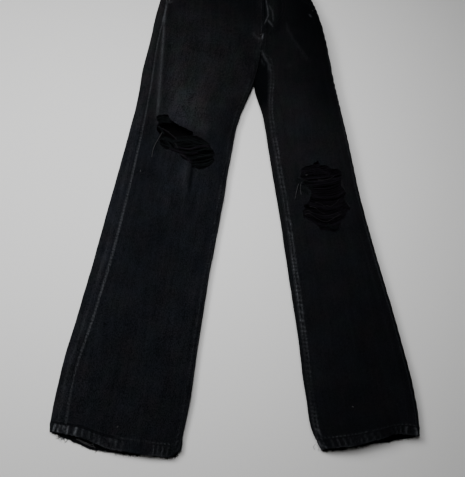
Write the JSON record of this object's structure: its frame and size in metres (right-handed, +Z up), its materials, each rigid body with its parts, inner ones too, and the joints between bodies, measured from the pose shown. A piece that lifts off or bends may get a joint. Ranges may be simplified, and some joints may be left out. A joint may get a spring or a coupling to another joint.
{
  "type": "ripped jeans laid flat",
  "caption": "Black washed denim jeans with flared straight legs, laid flat with the front up, and a torn hole over each knee.",
  "frame": {"origin": "the middle of the box's underside, on the surface that the jeans lie on", "axes": "+Z up from that surface, through the front of the jeans. +Y from the hems to the waist. +X to the wearer's left"},
  "size_m": [0.6704, 1.1018, 0.0608],
  "materials": {
    "denim": "matte washed twill",
    "zip_tape": "matte woven tape",
    "metal": "dark antique nickel"
  },
  "bodies": {
    "root": {"front_right": "denim", "back_right": "denim", "yoke_right": "denim", "pocket_facing_right": "denim", "back_pocket_right": "denim", "front_left": "denim", "back_left": "denim", "yoke_left": "denim", "pocket_facing_left": "denim", "back_pocket_left": "denim", "zip_tape": "zip_tape", "fly_shield": "denim", "zip_slider": "metal", "waistband": "denim", "button": "metal", "belt_loop_right_front": "denim", "belt_loop_right_back": "denim", "belt_loop_centre": "denim", "belt_loop_left_front": "denim", "belt_loop_left_back": "denim"}
  },
  "joints": []
}
